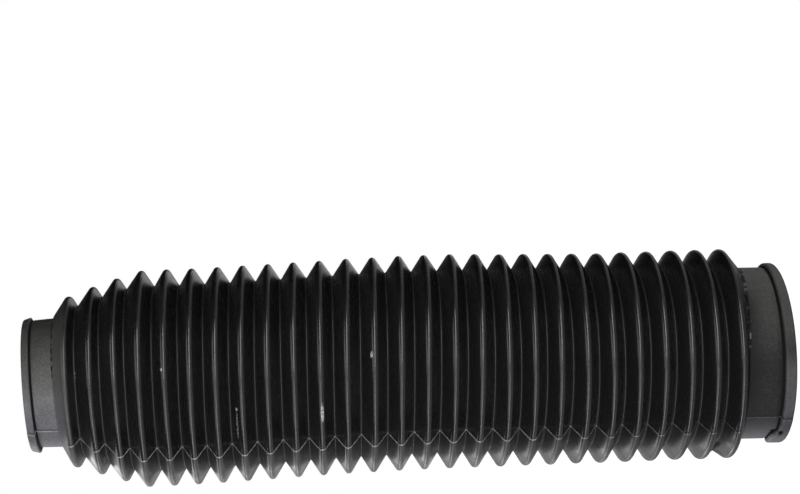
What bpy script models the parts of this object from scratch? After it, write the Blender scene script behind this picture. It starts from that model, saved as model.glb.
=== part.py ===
"""Fork gaiter: a moulded rubber bellows with a plain collar and a rounded lip at each end.

It is one moulded piece, open right through. The large end stands on the plane z = 0, and +Z runs
along the axis to the small end, which grips the fork tube. Lengths are in metres.
"""

import math

import bmesh
import bpy
from mathutils import Vector

# Folds, counted from the small end
FOLD_COUNT = 27
FOLD_PITCH = 0.00857
FOLD_DEPTH = 0.0055
FOLD_WALL = 0.0016
CREST_DIAMETER = 0.072
CREST_ROUNDING = 0.00125

# The folds next to the small collar grow to the full diameter along a slight curve
TAPERED_FOLDS = 3
TAPER_PITCH = 0.0083
TAPER_DEPTH = 0.0048
TAPER_EXPONENT = 1.12
FIRST_CREST_DIAMETER = 0.0573

# Collars: each is measured from its end face to the foot of the nearest flank
COLLAR_WALL = 0.0019
SMALL_BORE = 0.0392
SMALL_COLLAR_LENGTH = 0.0102
SMALL_FLANK_RUN = 0.0044
SMALL_STEP = 0.0013
LARGE_BORE = 0.0550
LARGE_COLLAR_LENGTH = 0.0140
LARGE_FLANK_RUN = 0.0039

# Lips at the end faces, which keep a band from slipping off
LIP_WIDTH = 0.0030
LIP_ROUNDING = 0.0007
LARGEST_ROUNDING_SHARE = 0.9
SMALL_LIP_RISE = 0.0010
LARGE_LIP_RISE = 0.0015

# Faces round the axis, and the angle past which an edge is shaded sharp
SEGMENTS = 28
SHARP_ANGLE = math.radians(40)

RUBBER_COLOUR = (0.018, 0.018, 0.019, 1.0)
RUBBER_ROUGHNESS = 0.38

# A profile point is (radius, height)
OUTWARD = Vector((1.0, 0.0))


def fold_gaps():
    """Distances between neighbouring crests, from the small end down."""
    plain_gaps = FOLD_COUNT - 1 - TAPERED_FOLDS
    return [TAPER_PITCH] * TAPERED_FOLDS + [FOLD_PITCH] * plain_gaps


def total_height():
    """Height of the small end's face above the large end's face."""
    collars = SMALL_COLLAR_LENGTH + SMALL_FLANK_RUN + LARGE_FLANK_RUN + LARGE_COLLAR_LENGTH
    return collars + sum(fold_gaps())


def crest_radius(fold):
    """Radius over one fold: less than the full one where the bellows tapers."""
    full = CREST_DIAMETER / 2
    if fold >= TAPERED_FOLDS:
        return full
    share = (TAPERED_FOLDS - fold) / TAPERED_FOLDS
    return full - (full - FIRST_CREST_DIAMETER / 2) * share ** TAPER_EXPONENT


def crest_tops():
    """Outermost point of each fold, from the small end down."""
    height = total_height() - SMALL_COLLAR_LENGTH - SMALL_FLANK_RUN
    tops = [Vector((crest_radius(0), height))]
    for fold, gap in enumerate(fold_gaps(), start=1):
        height -= gap
        tops.append(Vector((crest_radius(fold), height)))
    return tops


def valley_point(fold, upper, lower):
    """Bottom of the groove below a fold, placed so that both its flanks slope alike."""
    depth = TAPER_DEPTH if fold < TAPERED_FOLDS else FOLD_DEPTH
    radius = (upper.x + lower.x) / 2 - depth
    share = (upper.x - radius) / (upper.x + lower.x - 2 * radius)
    return Vector((radius, upper.y + (lower.y - upper.y) * share))


def flank_normal(centre, foot):
    """Outward normal of the flank that leaves a crest's rounding and ends at foot."""
    reach = foot - centre
    along = reach.normalized()
    across = Vector((along.y, -along.x))
    if across.dot(OUTWARD) < 0:
        across = -across
    lean = CREST_ROUNDING / reach.length
    return along * lean + across * math.sqrt(1 - lean ** 2)


def mitre(first, second):
    """Step from a corner to where both its sides, moved one unit along their normals, meet."""
    return (first + second) / (1 + first.dot(second))


def flank_meets_bore(foot, normal, bore_radius):
    """Inner corner where the underside of an end flank runs into a collar's bore."""
    offset = foot.dot(normal) - FOLD_WALL
    return Vector((bore_radius, (offset - normal.x * bore_radius) / normal.y))


def lip_outline(collar_radius, rise, face, away):
    """Lip from its end face back to the collar; away is the sign of the height behind the face."""
    rounding = min(LIP_ROUNDING, LARGEST_ROUNDING_SHARE * min(rise, LIP_WIDTH / 2))
    corner_radius = collar_radius + rise - rounding
    corners = ((rounding, (90, 45, 0)), (LIP_WIDTH - rounding, (0, -45, -90)))
    points = []
    for depth, turns in corners:
        for turn in turns:
            angle = math.radians(turn)
            radius = corner_radius + rounding * math.cos(angle)
            points.append(Vector((radius, face + away * (depth - rounding * math.sin(angle)))))
    points.append(Vector((collar_radius, face + away * LIP_WIDTH)))
    return points


def section():
    """Closed section of the wall: down its outside from the small end, and back up its inside."""
    height = total_height()
    small_radius = SMALL_BORE / 2 + COLLAR_WALL
    large_radius = LARGE_BORE / 2 + COLLAR_WALL
    small_root = Vector((small_radius, height - SMALL_COLLAR_LENGTH))
    small_foot = small_root + OUTWARD * SMALL_STEP
    large_foot = Vector((large_radius, LARGE_COLLAR_LENGTH))

    tops = crest_tops()
    centres = [top - OUTWARD * CREST_ROUNDING for top in tops]
    pairs = zip(tops[:-1], tops[1:])
    feet = [small_foot, *(valley_point(fold, *pair) for fold, pair in enumerate(pairs)), large_foot]
    upper_normals = [flank_normal(*ends) for ends in zip(centres, feet[:-1])]
    lower_normals = [flank_normal(*ends) for ends in zip(centres, feet[1:])]

    outside = lip_outline(small_radius, SMALL_LIP_RISE, height, -1)
    outside += [small_root, small_foot]
    inside = [Vector((SMALL_BORE / 2, height))]
    inside.append(flank_meets_bore(small_foot, upper_normals[0], SMALL_BORE / 2))
    for fold, centre in enumerate(centres):
        upper, lower = upper_normals[fold], lower_normals[fold]
        foot = feet[fold + 1]
        outside += [centre + direction * CREST_ROUNDING for direction in (upper, OUTWARD, lower)]
        outside.append(foot)
        inside.append(centre + mitre(upper, lower) * (CREST_ROUNDING - FOLD_WALL))
        if fold + 1 < FOLD_COUNT:
            for normal in (lower, upper_normals[fold + 1]):
                inside.append(foot - mitre(normal, OUTWARD) * FOLD_WALL)
    inside.append(flank_meets_bore(large_foot, lower_normals[-1], LARGE_BORE / 2))
    inside.append(Vector((LARGE_BORE / 2, 0.0)))
    outside += lip_outline(large_radius, LARGE_LIP_RISE, 0.0, 1)[::-1]
    return outside + inside[::-1]


def black_rubber():
    """Satin black rubber."""
    material = bpy.data.materials.new("black_rubber")
    material.use_nodes = True
    shader = material.node_tree.nodes["Principled BSDF"]
    shader.inputs["Base Color"].default_value = RUBBER_COLOUR
    shader.inputs["Roughness"].default_value = RUBBER_ROUGHNESS
    shader.inputs["Metallic"].default_value = 0.0
    return material


def turned_object(name, outline, material):
    """Object made by turning a closed outline once round the Z axis."""
    body = bmesh.new()
    ring = [body.verts.new((point.x, 0.0, point.y)) for point in outline]
    edges = [body.edges.new(ends) for ends in zip(ring, ring[1:] + ring[:1])]
    bmesh.ops.spin(
        body,
        geom=ring + edges,
        cent=(0, 0, 0),
        axis=(0, 0, 1),
        angle=math.tau,
        steps=SEGMENTS,
        use_merge=True,
    )
    bmesh.ops.recalc_face_normals(body, faces=body.faces)
    mesh = bpy.data.meshes.new(name)
    body.to_mesh(mesh)
    body.free()
    mesh.shade_smooth()
    mesh.set_sharp_from_angle(angle=SHARP_ANGLE)
    mesh.materials.append(material)
    turned = bpy.data.objects.new(name, mesh)
    bpy.context.collection.objects.link(turned)
    return turned


def main():
    """Clear the scene and build the gaiter."""
    for old in list(bpy.data.objects):
        bpy.data.objects.remove(old)
    turned_object("gaiter", section(), black_rubber())


main()
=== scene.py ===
"""Looks of a motorbike fork gaiter: a bellows moulded in black rubber, with a plain collar at each end.

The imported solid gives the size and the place. One surface of revolution stands for it: a closed
section of the wall, slightly different at every angle, carried round an axis that bows a little, as
the real gaiter does. Lengths are in metres and angles in degrees, unless a name says otherwise. +Z
runs along the axis from the large end, which stands on the floor, to the small end.
"""

import logging
import math
from dataclasses import dataclass, field
from enum import Enum, IntEnum
from typing import Any, Optional, Sequence, Union

import bpy
import numpy as np
from mathutils import Matrix, Vector


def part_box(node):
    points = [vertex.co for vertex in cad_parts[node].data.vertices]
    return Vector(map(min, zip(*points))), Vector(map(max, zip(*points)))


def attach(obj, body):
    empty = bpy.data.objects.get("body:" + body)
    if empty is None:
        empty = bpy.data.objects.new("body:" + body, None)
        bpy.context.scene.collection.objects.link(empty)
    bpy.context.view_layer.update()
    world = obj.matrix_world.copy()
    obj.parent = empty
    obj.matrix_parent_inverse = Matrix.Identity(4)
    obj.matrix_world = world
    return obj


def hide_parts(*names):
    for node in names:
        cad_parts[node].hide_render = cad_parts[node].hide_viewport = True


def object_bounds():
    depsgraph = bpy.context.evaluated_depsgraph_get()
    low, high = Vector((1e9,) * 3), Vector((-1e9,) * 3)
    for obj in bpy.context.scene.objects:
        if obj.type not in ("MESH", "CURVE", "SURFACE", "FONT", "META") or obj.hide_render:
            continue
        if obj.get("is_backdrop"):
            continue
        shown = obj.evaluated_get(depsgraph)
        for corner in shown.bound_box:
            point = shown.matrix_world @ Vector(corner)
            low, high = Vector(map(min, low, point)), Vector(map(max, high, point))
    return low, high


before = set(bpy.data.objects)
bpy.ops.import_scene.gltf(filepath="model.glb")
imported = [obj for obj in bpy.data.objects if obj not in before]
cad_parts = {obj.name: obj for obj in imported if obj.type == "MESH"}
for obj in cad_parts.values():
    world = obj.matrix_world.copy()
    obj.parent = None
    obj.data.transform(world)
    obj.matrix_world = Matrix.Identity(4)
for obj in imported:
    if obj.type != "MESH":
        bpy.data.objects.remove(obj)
CAD_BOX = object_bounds()

NODE = "gaiter"
BODY = "root"
MM = 0.001
FULL_TURN = 360.0

Array = np.ndarray
Triple = tuple[float, float, float]

log = logging.getLogger("gaiter")


class Region(IntEnum):
    """What a stretch of the wall's section belongs to."""

    CREST = 0
    VALLEY = 1
    LIP = 2
    CREASE = 3
    COLLAR = 4
    ROOT = 5
    BORE = 6
    INNER_FOLD = 7


class End(Enum):
    """Which end of the gaiter a collar is at. The value is the way along Z from its face to the folds."""

    SMALL = -1
    LARGE = 1


def unit(vectors: Array) -> Array:
    """Vectors of length 1 along the given ones."""
    return vectors / np.linalg.norm(vectors, axis=-1, keepdims=True)


def dot(first: Array, second: Array) -> Array:
    """Dot products over the last axis, which is kept with length 1."""
    return np.sum(first * second, axis=-1, keepdims=True)


def smooth_step(values: Array) -> Array:
    """3 v^2 - 2 v^3 of the values held between 0 and 1."""
    held = np.clip(values, 0.0, 1.0)
    return held * held * (3.0 - 2.0 * held)


@dataclass(frozen=True)
class Stretch:
    """Stretch round the axis, with soft ends.

    Attributes:
        start: angle where it starts.
        span: angle that it covers.
        edge: angle over which it grows at its start, and fades at its end.
    """

    start: float
    span: float
    edge: float

    def at(self, angles: Array) -> Array:
        """1 on the stretch and 0 off it: a smooth step up at its start times one down at its end."""
        past = (angles - self.start) % FULL_TURN
        return smooth_step(past / self.edge) * smooth_step((self.span - past) / self.edge)


def angle_from(angles: Array, centre: float) -> Array:
    """Angles measured from centre the short way round, from -180 to 180."""
    return (angles - centre + FULL_TURN / 2) % FULL_TURN - FULL_TURN / 2


def flank_normals(centres: Array, feet: Array, reach: float) -> Array:
    """Outward normals of the flanks that leave the crests' roundings.

    The normal n is the unit vector with n . (foot - centre) = reach that points away from the axis:
    the share reach / distance along the way to the foot, and the rest across it.

    Args:
        centres: centres of the crests' roundings, (..., 2) as radius and height.
        feet: centres of the grooves' roundings, or sharp feet.
        reach: the crest's rounding plus the foot's.

    Returns:
        Unit normals, (..., 2).
    """
    to_foot = feet - centres
    distance = np.linalg.norm(to_foot, axis=-1, keepdims=True)
    along = to_foot / distance
    across = np.stack([np.abs(along[..., 1]), -along[..., 0] * np.sign(along[..., 1])], axis=-1)
    lean = reach / distance
    return along * lean + across * np.sqrt(1.0 - lean * lean)


def mitre(first: Array, second: Array) -> Array:
    """Step from a corner to where both its sides, moved one unit along their normals, meet."""
    return (first + second) / (1.0 + dot(first, second))


@dataclass
class Corners:
    """Corners of the wall's section, each at every angle round the axis.

    Attributes:
        place: (corner, angle, 2) radius and height.
        rounding: (corner, angle) radius of the arc that rounds each corner, or 0.
        points: (corner,) points on each corner's arc.
        region: (corner,) what each corner belongs to.
        fold: (corner,) the fold that it belongs to, counted from the small end.
    """

    place: Array
    rounding: Array
    points: Array
    region: Array
    fold: Array

    @classmethod
    def row(
        cls, radius: Union[Array, float], height: Union[Array, float], angles: Array,
        region: Region, fold: float, rounding: Union[Array, float] = 0.0, points: int = 1,
    ) -> "Corners":
        """One corner.

        Args:
            radius: its distance from the axis, one value or one for each angle.
            height: its height, likewise.
            angles: angles round the axis, which give the number of columns.
            region: what it belongs to.
            fold: the fold that it belongs to.
            rounding: radius of its arc, one value or one for each angle.
            points: points on its arc.

        Returns:
            The corner.
        """
        ones = np.ones_like(angles)
        return cls(
            np.stack([radius * ones, height * ones], axis=-1)[None],
            (rounding * ones)[None],
            np.array([points]),
            np.array([int(region)]),
            np.array([float(fold)]),
        )

    @classmethod
    def join(cls, parts: Sequence["Corners"]) -> "Corners":
        """Several stretches of corners, one after the other."""
        return cls(*(np.concatenate(values) for values in zip(*(vars(part).values() for part in parts))))

    def backwards(self) -> "Corners":
        """The same corners in the opposite order."""
        return Corners(*(values[::-1] for values in vars(self).values()))


@dataclass
class Rows:
    """Rows of the surface: points along the rounded section, each at every angle.

    Attributes:
        place: (row, angle, 2) radius and height.
        region: (row,) what each row belongs to.
        fold: (row,) the fold that it belongs to, counted from the small end.
        on_arc: (row,) 1 on a corner's arc and 0 on the straight beside it.
    """

    place: Array
    region: Array
    fold: Array
    on_arc: Array

    def normals(self) -> Array:
        """Unit normals of the section, (row, angle, 2): across the line between a row's neighbours."""
        along = np.roll(self.place, -1, axis=0) - np.roll(self.place, 1, axis=0)
        return unit(np.stack([-along[..., 1], along[..., 0]], axis=-1))

    def travel(self) -> Array:
        """(row,) distance along the section from its first row, as a mean over all angles."""
        steps = np.linalg.norm(np.diff(self.place, axis=0), axis=-1).mean(axis=1)
        return np.concatenate([[0.0], np.cumsum(steps)])

    def way_to(self, chosen: Array) -> Array:
        """(row,) distance along the section to the nearest of the chosen rows."""
        travel = self.travel()
        return np.abs(travel[:, None] - travel[chosen][None]).min(axis=1)


def rounded(corners: Corners, support: float) -> Rows:
    """Rounds the corners of a closed section.

    With a and b the unit vectors from a corner to its neighbours and h half the angle between
    them, a rounding r starts and ends r / tan(h) from the corner, and its centre is r / sin(h)
    along a + b. The arc turns the spoke at its start into the one at its end: at the share s of a
    turn t, the spoke is (sin((1 - s) t) start + sin(s t) end) / sin(t). A corner on the outside
    also gets a row on the straight at each side, which keeps the flat parts flat in the shading.

    Args:
        corners: the section's corners.
        support: where the rows on the straights stand, as a share of the straight.

    Returns:
        The surface's rows.
    """
    place = corners.place
    rounding = corners.rounding[..., None]
    to_last = np.roll(place, 1, axis=0) - place
    to_next = np.roll(place, -1, axis=0) - place
    back, ahead = unit(to_last), unit(to_next)
    half = np.arccos(np.clip(dot(back, ahead), -1.0, 1.0)) / 2
    cut = rounding / np.tan(half)
    bisector = unit(back + ahead + 1e-12)
    centre = place + bisector * rounding / np.sin(half)
    first_spoke = place + back * cut - centre
    last_spoke = place + ahead * cut - centre
    turn = np.maximum(math.pi - 2 * half, 1e-6)
    behind = np.linalg.norm(to_last, axis=-1, keepdims=True) - cut - np.roll(cut, 1, axis=0)
    before = np.linalg.norm(to_next, axis=-1, keepdims=True) - cut - np.roll(cut, -1, axis=0)

    supported = (corners.points > 1) & (corners.region < Region.BORE)
    counts = corners.points + 2 * supported
    owner = np.repeat(np.arange(len(counts)), counts)
    starts = np.repeat(np.cumsum(counts) - counts, counts)
    step = np.arange(len(owner)) - starts - supported[owner]
    last = corners.points[owner] - 1
    share = (np.clip(step, 0, last) / np.maximum(last, 1))[:, None, None]

    swing = turn[owner]
    arc = np.sin((1 - share) * swing) * first_spoke[owner] + np.sin(share * swing) * last_spoke[owner]
    points = centre[owner] + arc / np.sin(swing)
    early = (step < 0)[:, None, None]
    late = (step > last)[:, None, None]
    points = points + early * back[owner] * behind[owner] * support
    points = points + late * ahead[owner] * before[owner] * support
    sharp = (corners.points[owner] == 1)[:, None, None]
    points = np.where(sharp, place[owner], points)
    on_arc = ((step >= 0) & (step <= last)).astype(float)
    return Rows(points, corners.region[owner], corners.fold[owner], on_arc)


@dataclass(frozen=True)
class Sway:
    """Slow change along the height: a middle value and a few waves.

    Attributes:
        middle: the value that the waves swing round.
        waves: size, start and length of each wave.
    """

    middle: float
    waves: tuple[Triple, ...]

    def at(self, height: Union[Array, float]) -> Union[Array, float]:
        """Value at a height: middle + the sum of size sin(2 pi (height - start) / length)."""
        swings = (
            size * np.sin(math.tau * (height - start) / length) for size, start, length in self.waves
        )
        return self.middle + sum(swings)


@dataclass
class Unevenness:
    """Small differences between one fold and the next, which a moulding that has been handled has.

    Attributes:
        seed: start of the random numbers.
        waves: waves round the axis in the finest of them.
        radial: size of the differences in radius.
        axial: size of the differences in height.
    """

    seed: int = 7
    waves: int = 5
    radial: float = 0.05 * MM
    axial: float = 0.09 * MM

    def offsets(self, folds: int, angles: Array) -> tuple[Array, Array]:
        """Differences of each fold at each angle.

        Each is a sum of cosines of 1 to `waves` times the angle, with random phases, in which k
        waves count for 1 / k.

        Args:
            folds: the number of folds.
            angles: angles round the axis.

        Returns:
            Radial and axial differences, both (fold, angle).
        """
        generator = np.random.default_rng(self.seed)
        waves = np.arange(1, self.waves + 1)
        phases = generator.uniform(0.0, math.tau, (2, folds, 1, self.waves))
        turns = np.radians(angles)[None, :, None] * waves
        sums = (np.cos(turns + phases) / waves).sum(axis=-1)
        return self.radial * sums[0], self.axial * sums[1]


@dataclass
class Web:
    """Thin web of rubber left in one groove, which makes the groove shallow over a few degrees.

    Attributes:
        groove: the groove that it is in, counted from the small end.
        angle: its middle.
        half_width: half its width.
        rise: how far it fills the groove.
        steepness: how fast it grows from its edges, where 1 is a smooth step up to its middle.
    """

    groove: int = 25
    angle: float = 188.5
    half_width: float = 6.0
    rise: float = 2.7 * MM
    steepness: float = 1.5

    def lift(self, grooves: int, angles: Array) -> Array:
        """Rise of each groove's bottom: in the chosen groove a smooth step from the web's edges.

        Args:
            grooves: the number of grooves.
            angles: angles round the axis.

        Returns:
            (groove, angle) rises.
        """
        away = np.abs(angle_from(angles, self.angle)) / self.half_width
        chosen = np.arange(grooves)[:, None] == self.groove
        return chosen * self.rise * smooth_step(self.steepness * (1.0 - away))


@dataclass
class MouldSeam:
    """Line of flash where the mould's two halves met, at one angle and at the angle opposite.

    Attributes:
        angle: the seam that faces the front.
        height: height of the flash.
        spread: half the width of its foot.
        patchiness: how much its height varies along the section.
        ripple: length of the finest variation.
        least_pale: how bright the flash's painted highlight is at the large end.
        clear_height: height from which it is fully pale.
        mismatch: how far one half of the moulding is shifted along the parting plane.
        beside: angle from the seam to the middle of the line of painted shade beside it.
        beside_width: half the width of that line.
        strands: angles from the seam of the columns that carry the flash.
    """

    angle: float = 232.1
    height: float = 0.10 * MM
    spread: float = 0.62
    patchiness: float = 0.55
    ripple: float = 2.3 * MM
    least_pale: float = 0.47
    clear_height: float = 150.0 * MM
    mismatch: float = 0.07 * MM
    beside: float = 1.5
    beside_width: float = 1.2
    strands: tuple[float, ...] = (-2.2, -1.2, -0.62, -0.28, 0.0, 0.28, 0.62, 1.2, 2.2)

    def columns(self) -> Array:
        """Angles of the columns that carry the flash, for both seams."""
        offsets = np.array(self.strands)
        return np.concatenate([self.angle + offsets, self.angle - FULL_TURN / 2 + offsets])

    def nearness(self, angles: Array) -> Array:
        """(angle,) 1 on a seam, falling straight to 0 at the foot of its flash."""
        away = np.abs(angle_from(2.0 * angles, 2.0 * self.angle)) / 2.0
        return np.clip(1.0 - away / self.spread, 0.0, 1.0)

    def shade(self, angles: Array) -> Array:
        """(angle,) 1 on the line of painted shade beside a seam, falling straight to 0 at its edges."""
        away = np.abs(angle_from(2.0 * angles, 2.0 * (self.angle + self.beside))) / 2.0
        return np.clip(1.0 - away / self.beside_width, 0.0, 1.0)

    def paleness(self, heights: Array) -> Array:
        """How bright the flash's painted highlight is at those heights: least at the floor, and 1 from
        clear_height on.
        """
        return self.least_pale + (1.0 - self.least_pale) * smooth_step(heights / self.clear_height)

    def far_half(self, angles: Array) -> Array:
        """(angle,) 1 on the half that turns away from the front, at the angles below the front seam."""
        past = (self.angle - angles) % FULL_TURN
        return ((past > 0.0) & (past < FULL_TURN / 2)).astype(float)

    def ridge(self, angles: Array, travel: Array) -> Array:
        """Height of the flash.

        It is the nearness to the seam times the height, less a patchy share made of three sines of
        the distance along the section.

        Args:
            angles: angles round the axis.
            travel: distance of each row along the section.

        Returns:
            (row, angle) heights.
        """
        phase = travel / self.ripple
        patches = 0.5 + (np.sin(phase) + np.sin(1.73 * phase + 1.0) + np.sin(0.37 * phase + 2.0)) / 6
        return self.height * (1 - self.patchiness * patches)[:, None] * self.nearness(angles)[None]

    def shift(self, angles: Array) -> Array:
        """(angle,) outward shift of the far half: the mismatch times the cosine of the way to the seam."""
        away = np.radians(angle_from(angles, self.angle))
        return self.mismatch * np.cos(away) * self.far_half(angles)


@dataclass
class LipFlaw:
    """Swollen stretch of the large lip, with a small pit where a bubble broke.

    Attributes:
        swollen: stretch round the axis that is swollen.
        reach: how far it spreads behind the lip.
        softness: what it adds to the rounding of the lip's back edge.
        pit_angle: place of the pit round the axis.
        pit_height: height of the pit above the end face.
        pit_radius: half the pit's size along the axis.
        pit_turn: half its size round the axis, as a multiple of that.
        pit_depth: depth of the pit.
        rim: height of the rim round it.
        rim_reach: how far the rim spreads, as a multiple of the pit's own (d / r)^2.
        dimple_angle: place of the shallow dimple behind the pit.
        dimple_height: height of the dimple above the end face.
        dimple_radius: radius of the dimple.
        dimple_depth: depth of the dimple.
        strands: angles from the pit of the columns that carry it and the dimple.
    """

    swollen: Stretch = Stretch(180.0, 41.0, 13.0)
    reach: float = 1.7 * MM
    softness: float = 0.4 * MM
    pit_angle: float = 217.6
    pit_height: float = 2.9 * MM
    pit_radius: float = 0.8 * MM
    pit_turn: float = 2.2
    pit_depth: float = 1.0 * MM
    rim: float = 0.22 * MM
    rim_reach: float = 1.6
    dimple_angle: float = 215.0
    dimple_height: float = 5.6 * MM
    dimple_radius: float = 1.3 * MM
    dimple_depth: float = 0.8 * MM
    strands: tuple[float, ...] = (-4.4, -3.4, -2.4, -1.6, -1.0, -0.5, 0.0, 0.5, 1.0, 1.6, 2.4, 3.4)

    def columns(self) -> Array:
        """Angles of the columns that carry the pit and the dimple."""
        return self.pit_angle + np.array(self.strands)

    def dent(self, place: Array, angles: Array) -> tuple[Array, Array]:
        """How far the surface sinks, less the pit's rim.

        The pit and the dimple are bells, exp(-(d / r)^2) of the distance d from their middle, which
        counts for less round the axis in the pit. The rim is its height times (d / r)^2 times
        exp(1 - (d / r)^2 / reach).

        Args:
            place: (row, angle, 2) radius and height.
            angles: angles round the axis.

        Returns:
            (row, angle) depths, and the pit's bell.
        """
        def squared(angle: float, height: float, radius: float, turn: float = 1.0) -> Array:
            """Square of the distance from a middle, in units of the radius."""
            along = np.radians(angle_from(angles, angle))[None] * place[..., 0] / turn
            return (along ** 2 + (place[..., 1] - height) ** 2) / radius ** 2

        pit = squared(self.pit_angle, self.pit_height, self.pit_radius, self.pit_turn)
        dimple = squared(self.dimple_angle, self.dimple_height, self.dimple_radius)
        rim = self.rim * pit * np.exp(1.0 - pit / self.rim_reach)
        bell = np.exp(-pit)
        return self.pit_depth * bell + self.dimple_depth * np.exp(-dimple) - rim, bell


@dataclass
class Collar:
    """Plain collar at one end, with a rounded lip at its face.

    Attributes:
        end: which end it is at.
        face: height of its end face.
        bore: radius of its bore.
        length: from its face to the foot of the nearest flank.
        wall: thickness of its wall.
        lip_width: width of the lip.
        lip_rise: how far the lip stands proud.
        lip_sag: what it stands more proud on the side towards -X.
        lip_rounding: rounding of the lip's edge at the face.
        lip_back_rounding: rounding of its edge towards the folds.
        lip_taper: how much narrower the lip is at its face than at its back.
        crease_depth: depth of the crease behind the lip.
        crease_width: width of that crease.
        crease_bottom: place of its deepest line, as a share of its width.
        fillet: rounding where the folds meet the collar.
        bore_edge: rounding of the bore's edge.
        flare: how much wider the collar is at its root than at its lip.
        face_nod: slope by which the face sinks towards the front.
        face_tip: slope by which it rises towards +X.
        root_nod: slope by which its root sinks towards the front. The rings between turn evenly.
        root_tip: slope by which its root rises towards +X.
        step: width of the step at its root.
        step_rounding: rounding of the step's outer edge.
        flaw: a swollen stretch of the lip, if it has one.
        lip_rows: distances from the face of the rows on the front of the lip.
        swelling_rows: rows between those and the lip's back edge, as shares of the way.
        least_room: the least room that those rows share.
        collar_rows: rows between the lip and the root, as shares of the way.
    """

    end: End
    face: float
    bore: float
    length: float
    wall: float = 1.9 * MM
    lip_width: float = 3.0 * MM
    lip_rise: float = 1.0 * MM
    lip_sag: float = 0.0
    lip_rounding: float = 0.62 * MM
    lip_back_rounding: float = 0.62 * MM
    lip_taper: float = 0.0
    crease_depth: float = 0.45 * MM
    crease_width: float = 1.0 * MM
    crease_bottom: float = 0.25
    fillet: float = 0.25 * MM
    bore_edge: float = 0.25 * MM
    flare: float = 0.0
    face_nod: float = 0.0
    face_tip: float = 0.0
    root_nod: float = 0.0
    root_tip: float = 0.0
    step: float = 0.0
    step_rounding: float = 0.5 * MM
    flaw: Optional[LipFlaw] = None
    lip_rows: tuple[float, ...] = (0.9 * MM, 1.2 * MM, 1.45 * MM, 1.7 * MM, 1.95 * MM, 2.2 * MM)
    swelling_rows: tuple[float, ...] = (0.2, 0.4, 0.6, 0.8)
    least_room: float = 0.1 * MM
    collar_rows: tuple[float, ...] = (0.12, 0.25, 0.4, 0.55, 0.7, 0.85)

    def height(self, radius: Any, depth: Any, angles: Array) -> Array:
        """Height of a ring that lies tilted on the collar.

        Args:
            radius: radius of the ring.
            depth: its distance behind the face.
            angles: angles round the axis.

        Returns:
            (angle,) heights: the tip times the cosine of the angle plus the nod times its sine,
            times the radius, round the height of the middle.
        """
        share = np.clip(depth / self.length, 0.0, 1.0)
        tip = self.face_tip + (self.root_tip - self.face_tip) * share
        nod = self.face_nod + (self.root_nod - self.face_nod) * share
        turns = np.radians(angles)
        return self.face + self.end.value * depth + radius * (tip * np.cos(turns) + nod * np.sin(turns))

    def root(self, angles: Array) -> Array:
        """(angle, 2) radius and height of the foot of the nearest flank."""
        radius = (self.bore + self.wall + self.flare + self.step) * np.ones_like(angles)
        return np.stack([radius, self.height(radius, self.length, angles)], axis=-1)

    def outside(self, angles: Array, fold: float) -> Corners:
        """Corners from the bore's edge round the lip to the flank's foot.

        The lip's back edge moves away from the face by the flaw's swelling, and the rows on the
        lip and on the collar divide what lies on either side of it.

        Args:
            angles: angles round the axis.
            fold: the fold nearest to the collar.

        Returns:
            The corners, in order away from the face.
        """
        inner = self.bore + self.wall
        outer = inner + self.lip_rise + self.lip_sag * (1.0 - np.cos(np.radians(angles))) / 2
        back = self.lip_width * np.ones_like(angles)
        back_rounding = self.lip_back_rounding * np.ones_like(angles)
        if self.flaw:
            swelling = self.flaw.swollen.at(angles)
            back = back + swelling * self.flaw.reach
            back_rounding = back_rounding + swelling * self.flaw.softness
        start = back + self.crease_width

        def row(radius: Any, depth: Any, region: Region, rounding: Any = 0.0, points: int = 1) -> Corners:
            """One corner at a depth behind the face."""
            return Corners.row(
                radius, self.height(radius, depth, angles), angles, region, fold, rounding, points,
            )

        def on_lip(depth: Any) -> Corners:
            """One corner on the lip, between its narrow face and its back."""
            return row(outer - self.lip_taper * (1.0 - depth / back), depth, Region.LIP)

        parts = [
            row(self.bore, 0.0, Region.BORE, self.bore_edge, 3),
            row(outer - self.lip_taper, 0.0, Region.LIP, self.lip_rounding, 5),
        ]
        parts += [on_lip(depth) for depth in self.lip_rows]
        last = self.lip_rows[-1]
        room = np.maximum(back - back_rounding - last, self.least_room)
        parts += [on_lip(last + share * room) for share in self.swelling_rows]
        parts.append(row(outer, back, Region.LIP, back_rounding, 5))
        bottom = back + self.crease_bottom * self.crease_width
        parts.append(row(inner - self.crease_depth, bottom, Region.CREASE))
        parts.append(row(inner, start, Region.COLLAR))
        for share in self.collar_rows:
            radius = inner + self.flare * share
            parts.append(row(radius, start + (self.length - start) * share, Region.COLLAR))
        if self.step:
            parts.append(row(inner + self.flare, self.length, Region.ROOT, self.fillet, 3))
        foot = inner + self.flare + self.step
        parts.append(row(foot, self.length, Region.ROOT, self.step_rounding, 3))
        return Corners.join(parts)


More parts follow.
